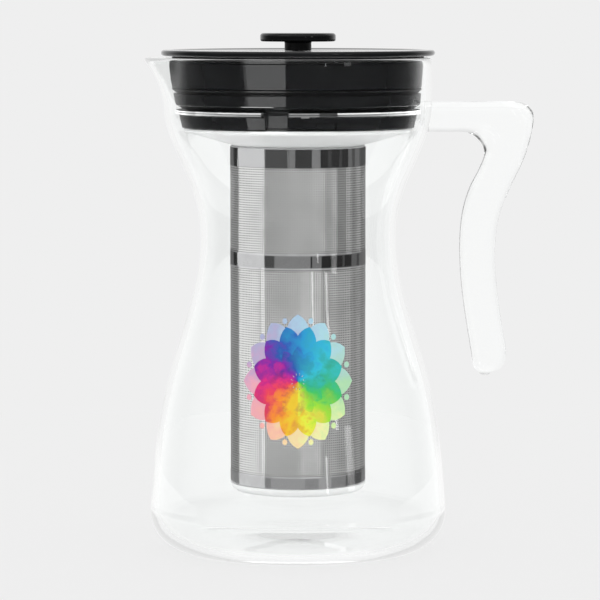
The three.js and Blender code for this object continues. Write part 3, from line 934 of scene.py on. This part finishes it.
class BuildPrint(bpy.types.Operator):
    """Make the rainbow rosette printed on the front of the glass"""

    bl_idname = "cold_brew.print"
    bl_label = "Printed rosette"

    def execute(self, context):
        sizes = context.scene.cold_brew_print
        layers = [
            ("print_outer", 12, 0.0, 0.30, 1.00, 0.21, 0.00006, ink_material("Pale ink", 0.42, 0.0, 0.1)),
            ("print_middle", 12, 0.5, 0.16, 0.84, 0.19, 0.0001, ink_material("Bright ink", 0.0, 0.15, 0.0)),
            ("print_inner", 12, 0.0, 0.06, 0.52, 0.11, 0.00014, ink_material("Deep ink", 0.0, 0.3, -0.2)),
        ]
        for name, count, shift, start, end, half_width, lift, material in layers:
            bm = bmesh.new()
            for i in range(count):
                turn = FULL_TURN * (i + shift) / count
                lay_petal(bm, turn, start, end, half_width)
                if name == "print_outer":
                    lay_dot(bm, turn + FULL_TURN / 24, 0.93, 0.045)
            if name == "print_inner":
                lay_dot(bm, 0, 0, 0.1)
            print_on_glass(bm, sizes, lift)
            finish_piece(make_object(name, bm), "carafe", material)
        return {"FINISHED"}


# Lid


def cap_profile(sizes):
    radius, bottom, top = mm(sizes.cap_radius), mm(sizes.cap_bottom), mm(sizes.cap_top)
    edge = (top - bottom) / 2
    return [
        (2.3, bottom),
        (51.6, bottom),
        (51.6, 217.6),
        (53.2, 217.6),
        (53.2, bottom),
        *corner(radius - edge, bottom + edge, edge, -90, 90, 18),
        (radius - 3.6, top),
        (radius - 4.3, top - 0.05),
        (radius - 5.3, top - 0.4),
        (radius - 6.2, top - 0.5),
        (2.3, top - 0.5),
    ]


def knob_profile(sizes):
    radius, top = mm(sizes.knob_radius), mm(sizes.knob_top)
    under = top - mm(sizes.knob_face)
    stem, foot = mm(sizes.stem_radius), mm(sizes.cap_top) - 0.4
    return [
        (2.9, foot),
        (stem, foot),
        (stem, under - 0.7),
        *corner(stem + 0.7, under - 0.7, 0.7, 180, 90, 4)[1:],
        *corner(radius - 1, under + 1, 1, -90, 0, 6),
        *corner(radius - 1.4, top - 1.4, 1.4, 0, 90, 8),
        (radius * 0.5, top + 0.13),
        (0, top + 0.2),
        (0, top - 1.7),
        (2.9, top - 1.7),
    ]


def plug_profile(sizes):
    """The plug's cup, with the groove of its lower seal and the spigot under it."""
    top_radius, low_radius = mm(sizes.plug_top_radius), mm(sizes.plug_bottom_radius)
    top, bottom, groove = mm(sizes.cap_bottom) - 0.1, mm(sizes.plug_bottom), mm(sizes.seal_height)
    slope = (top_radius - low_radius) / (top + 0.1 - bottom)

    def radius_at(z):
        return low_radius + slope * (z - bottom)

    bore, spigot, roof, seat = 53.4, 49.4, 197.9, top - 3
    return [
        (spigot - 2, 190.7),
        (spigot, 190.7),
        (spigot, roof),
        (51.6, roof),
        (low_radius - 0.2, bottom - 0.3),
        (low_radius, bottom),
        (radius_at(groove), groove),
        (bore, groove),
        (bore, groove + 2.7),
        (radius_at(groove + 2.7), groove + 2.7),
        (radius_at(seat), seat),
        (54.8, seat),
        (54.8, top),
        (bore, top),
        (bore, 209.5),
        (bore - 2.2, groove + 2.7),
        (bore - 2.2, bottom + 1),
        (0, bottom + 1),
        (0, bottom - 1.6),
        (spigot - 2, bottom - 1.6),
    ]


def upper_seal_profile(sizes):
    top = mm(sizes.cap_bottom) - 0.2
    return [(55, top - 2.7), (56.05, top - 2.7), (56.3, top - 1.35), (56.05, top), (55, top)]


def lower_seal_profile(sizes):
    foot, top = mm(sizes.seal_height) + 0.1, mm(sizes.seal_height) + 2.6
    lip = 55.2
    return [
        (53.6, foot),
        (lip - 1.8, foot),
        (lip - 0.8, foot + 1.1),
        (lip, foot + 1.7),
        (lip, foot + 2.1),
        (lip - 1.4, top),
        (53.6, top),
    ]


class BuildLid(bpy.types.Operator):
    """Make the cap, the knob, the plug with its lugs, and both seals"""

    bl_idname = "cold_brew.lid"
    bl_label = "Lid"

    def execute(self, context):
        sizes, collar = context.scene.cold_brew_lid, context.scene.cold_brew_collar
        plastic, silicone = plastic_material(), silicone_material()
        cap = make_object("lid_disc", revolve(soften(cap_profile(sizes), 0.3), 128))
        finish_piece(cap, "lid", plastic, ("lid_cap",))
        knob = make_object("lid_button", revolve(soften(knob_profile(sizes), 0.2), 72))
        finish_piece(knob, "lid", plastic, ("lid_knob",))
        plug = make_object("lid_cup", revolve(soften(plug_profile(sizes), 0.25), 128))
        lugs = bmesh.new()
        lug_top = mm(collar.ledge) - 0.3
        for i in range(collar.notches):
            end = collar.run_to - math.radians(0.6) + FULL_TURN * i / collar.notches
            ring_block(lugs, 48.4, 51.4, lug_top - 2.2, lug_top, end - math.radians(9), end)
        combine(plug, make_object("lugs", lugs), "UNION")
        finish_piece(plug, "lid", plastic, ("lid_plug",))
        upper = make_object("seal_ring_upper", revolve(soften(upper_seal_profile(sizes), 0.4), 128))
        finish_piece(upper, "lid", silicone, ("lid_seal_upper",))
        lower = make_object("seal_ring_lower", revolve(soften(lower_seal_profile(sizes), 0.3), 128))
        finish_piece(lower, "lid", silicone, ("lid_seal_lower",))
        return {"FINISHED"}


# Basket


def collar_profile(sizes):
    bottom, top, radius, bore = mm(sizes.bottom), mm(sizes.top), mm(sizes.radius), mm(sizes.bore)
    flange, flange_foot, seat = mm(sizes.flange_radius), mm(sizes.top) - 2, bottom + 0.5
    return [
        (46, bottom - 1.2),
        (49.7, bottom - 1.2),
        (49.7, bottom),
        (radius, bottom),
        (radius + mm(sizes.flare), flange_foot - 0.3),
        (flange - 0.5, flange_foot),
        (flange, flange_foot + 0.35),
        (flange, top - 0.15),
        (flange - 0.15, top),
        (bore, top),
        (bore, seat),
        (49.3, seat),
        (49.3, seat - 1),
        (46, seat - 1),
    ]


def collar_cutters(sizes):
    """The three kinds of block that cut the bayonet notches, one mesh for each kind."""
    bottom, top, seat, clear = mm(sizes.bottom), mm(sizes.top), mm(sizes.bottom) + 0.5, mm(sizes.flange_radius) + 1
    inside, web = mm(sizes.bore) - 0.4, mm(sizes.bore) + 0.6
    entries, runs, webs = bmesh.new(), bmesh.new(), bmesh.new()
    for i in range(sizes.notches):
        turn = FULL_TURN * i / sizes.notches
        start, middle, end = sizes.entry_from + turn, sizes.entry_to + turn, sizes.run_to + turn
        ring_block(entries, inside, clear, seat, top + 1, start, middle)
        ring_block(runs, inside, clear, seat, mm(sizes.ledge), middle - math.radians(1), end)
        ring_block(webs, web, clear, bottom - 1, seat + 0.2, start, end)
    return [make_object("cutter", bm) for bm in (entries, runs, webs)]


def index_boss(sizes):
    """A round boss on the collar's front, beside the entry."""
    bm = bmesh.new()
    bmesh.ops.create_cone(bm, cap_ends=True, segments=28, radius1=0.00185, radius2=0.00175, depth=0.0036)
    outwards = Matrix.Rotation(math.pi / 2, 4, "X")
    spot = Matrix.Translation((0, -(sizes.flange_radius - 0.0016), sizes.ledge + 0.0021))
    bmesh.ops.transform(bm, matrix=Matrix.Rotation(math.radians(3.3), 4, "Z") @ spot @ outwards, verts=bm.verts)
    return make_object("boss", bm)


class BuildCollar(bpy.types.Operator):
    """Make the collar with its flange and its L-shaped bayonet notches"""

    bl_idname = "cold_brew.collar"
    bl_label = "Bayonet collar"

    def execute(self, context):
        sizes = context.scene.cold_brew_collar
        collar = make_object("bayonet_collar", revolve(collar_profile(sizes), 144))
        for cutter in collar_cutters(sizes):
            combine(collar, cutter, "DIFFERENCE")
        combine(collar, index_boss(sizes), "UNION")
        round_edges(collar, 0.0002)
        finish_piece(collar, "filter_basket", plastic_material(), ("filter_collar",))
        return {"FINISHED"}


def funnel_profile(basket, collar):
    radius, sheet, foot = mm(basket.radius), mm(basket.sheet), 182.3
    throat, rim, rim_top = radius - sheet - 0.2, 50.05, mm(collar.bottom) - 0.15
    under = mm(collar.bottom) - 1.35
    return [
        (throat - 0.8, foot - 2),
        (throat, foot - 2),
        (throat, foot - 0.3),
        (radius, foot),
        (rim, under - 0.7),
        (rim + 0.8, under),
        (rim + 0.8, rim_top),
        (rim, rim_top),
        (rim, under),
        (rim - 1.2, under),
        (throat - 0.8, foot + 0.6),
    ]


class BuildFunnel(bpy.types.Operator):
    """Make the satin steel funnel under the collar"""

    bl_idname = "cold_brew.funnel"
    bl_label = "Funnel"

    def execute(self, context):
        scene = context.scene
        profile = soften(funnel_profile(scene.cold_brew_basket, scene.cold_brew_collar), 0.3)
        funnel = make_object("basket_funnel", revolve(profile, 144))
        finish_piece(funnel, "filter_basket", satin_material(), ("filter_funnel",))
        return {"FINISHED"}


def node_heights(name):
    """Lowest and highest point of a CAD node, in millimetres."""
    low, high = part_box(name)
    return mm(low.z), mm(high.z)


class BuildBands(bpy.types.Operator):
    """Make the three plain steel bands and the rounded bottom cap"""

    bl_idname = "cold_brew.bands"
    bl_label = "Steel bands"

    def execute(self, context):
        sizes = context.scene.cold_brew_basket
        radius = mm(sizes.radius)
        inner = radius - mm(sizes.sheet)
        bottom, top = node_heights("filter_top_band")
        shoulder = [(inner, bottom), (radius, bottom), *corner(radius - 1, top - 1, 1, 0, 90, 6)]
        band = make_object("steel_band_top", revolve(shoulder, 144))
        finish_piece(band, "filter_basket", rolled_steel_material(), ("filter_top_band",))
        for name, replaced in (("steel_band_middle", "filter_mid_band"), ("steel_band_bottom", "filter_bottom_band")):
            bottom, top = node_heights(replaced)
            profile = soften([(inner, bottom), (radius, bottom), (radius, top), (inner, top)], 0.12)
            band = make_object(name, revolve(profile, 144))
            finish_piece(band, "filter_basket", steel_material(), (replaced,))
        bottom, top = node_heights("filter_bottom_cap")
        round_corner, sheet = top - bottom, mm(sizes.sheet)
        profile = [
            (0, bottom + 0.25),
            (radius * 0.6, bottom + 0.2),
            (radius - round_corner - 1.5, bottom),
            *corner(radius - round_corner, top, round_corner, -90, 0, 12),
            *corner(radius - round_corner, top, round_corner - sheet, 0, -90, 8),
            (0, bottom + sheet),
        ]
        cap = make_object("basket_bottom_cap", revolve(profile, 144, closed=False))
        finish_piece(cap, "filter_basket", satin_material(), ("filter_bottom_cap",))
        return {"FINISHED"}


def perforated_sheet(sizes, bottom, rows, pitch, closing_bar):
    """A ring of thin sheet with a square hole in every cell: one column of cells, spun round the axis."""
    radius, bar = sizes.radius - 0.0001, sizes.bar
    columns = round(FULL_TURN * radius / sizes.hole_pitch)
    cell = FULL_TURN / columns
    turns = (0, cell * bar / sizes.hole_pitch, cell)
    bands = 2 * rows + (1 if closing_bar else 0)
    bm = bmesh.new()
    bmesh.ops.create_grid(bm, x_segments=2, y_segments=bands, size=1)
    holes = []
    for face in bm.faces:
        middle = face.calc_center_median()
        band = int((middle.y + 1) / 2 * bands)
        if middle.x > 0 and band % 2 == 1:
            holes.append(face)
    bmesh.ops.delete(bm, geom=holes, context="FACES")
    for vert in bm.verts:
        turn = turns[round(vert.co.x + 1)]
        step = round((vert.co.y + 1) / 2 * bands)
        z = bottom + (step // 2) * pitch + (step % 2) * bar
        vert.co = (radius * math.sin(turn), -radius * math.cos(turn), z)
    geometry = bm.verts[:] + bm.edges[:] + bm.faces[:]
    bmesh.ops.spin(
        bm,
        geom=geometry,
        cent=(0, 0, 0),
        axis=(0, 0, 1),
        angle=FULL_TURN - cell,
        steps=columns - 1,
        use_duplicate=True,
    )
    bmesh.ops.remove_doubles(bm, verts=bm.verts, dist=1e-6)
    bmesh.ops.recalc_face_normals(bm, faces=bm.faces)
    bmesh.ops.solidify(bm, geom=bm.faces[:], thickness=sizes.mesh_thickness)
    return bm


class BuildMesh(bpy.types.Operator):
    """Make the finely perforated steel sleeves between the bands, with gauze inside them"""

    bl_idname = "cold_brew.mesh"
    bl_label = "Perforated sleeves"

    def execute(self, context):
        sizes = context.scene.cold_brew_basket
        material = mesh_material()
        for name, replaced, parts in (("sleeve_upper", "mesh_upper", 1), ("sleeve_lower", "mesh_lower", 2)):
            low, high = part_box(replaced)
            rows = round((high.z - low.z - sizes.bar) / sizes.hole_pitch)
            pitch = (high.z - low.z - sizes.bar) / rows
            first, inner = 0, mm(sizes.radius) - 0.45
            # The gauze lies inside the sheet, so it takes the material's darkened inner colour, which is painted
            # shade.
            gauze = [(inner - 0.1, mm(low.z)), (inner, mm(low.z)), (inner, mm(high.z)), (inner - 0.1, mm(high.z))]
            lining = make_object(f"{name}_gauze", revolve(gauze, 144))
            finish_piece(lining, "filter_basket", material)
            for part in range(parts):
                last = rows * (part + 1) // parts
                bottom = low.z + first * pitch
                sheet = perforated_sheet(sizes, bottom, last - first, pitch, last == rows)
                piece = make_object(f"{name}_{part + 1}", sheet)
                finish_piece(piece, "filter_basket", material, (replaced,) if part == 0 else ())
                first = last
        return {"FINISHED"}


class DressHardware(bpy.types.Operator):
    """Give the screw, washer, insert, gasket and sheet seams their finishes"""

    bl_idname = "cold_brew.hardware"
    bl_label = "Hardware finishes"

    def execute(self, context):
        finishes = {
            "knob_insert": brass_material(),
            "knob_screw": steel_material(),
            "knob_washer": steel_material(),
            "collar_gasket": silicone_material(),
            "mesh_seam_upper": steel_material(),
            "mesh_seam_lower": steel_material(),
        }
        for name, material in finishes.items():
            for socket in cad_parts[name].material_slots:
                socket.material = material
        return {"FINISHED"}


class ColdBrewPanel(bpy.types.Panel):
    """The steps that build the coffee maker, and its sizes"""

    bl_idname = "VIEW3D_PT_cold_brew"
    bl_label = "Cold brew coffee maker"
    bl_space_type = "VIEW_3D"
    bl_region_type = "UI"
    bl_category = "Cold brew"

    def draw(self, context):
        for step in STEPS:
            self.layout.operator(step.bl_idname)
        for name in SETTINGS:
            box = self.layout.box()
            settings = getattr(context.scene, name)
            for field in settings.__annotations__:
                box.prop(settings, field)


STEPS = (
    BuildStage,
    BuildCarafe,
    BuildPrint,
    BuildLid,
    BuildCollar,
    BuildFunnel,
    BuildBands,
    BuildMesh,
    DressHardware,
)
SETTINGS = {
    "cold_brew_carafe": CarafeSizes,
    "cold_brew_print": PrintSizes,
    "cold_brew_lid": LidSizes,
    "cold_brew_collar": CollarSizes,
    "cold_brew_basket": BasketSizes,
    "cold_brew_finishes": Finishes,
    "cold_brew_stage": StageSizes,
}


def register():
    for name, group in SETTINGS.items():
        bpy.utils.register_class(group)
        setattr(bpy.types.Scene, name, PointerProperty(type=group))
    for cls in (*STEPS, ColdBrewPanel):
        bpy.utils.register_class(cls)


def unregister():
    for cls in (ColdBrewPanel, *reversed(STEPS)):
        bpy.utils.unregister_class(cls)
    for name, group in SETTINGS.items():
        delattr(bpy.types.Scene, name)
        bpy.utils.unregister_class(group)


def main():
    register()
    for step in ("stage", "carafe", "print", "lid", "collar", "funnel", "bands", "mesh", "hardware"):
        getattr(bpy.ops.cold_brew, step)()


if __name__ == "__main__":
    main()
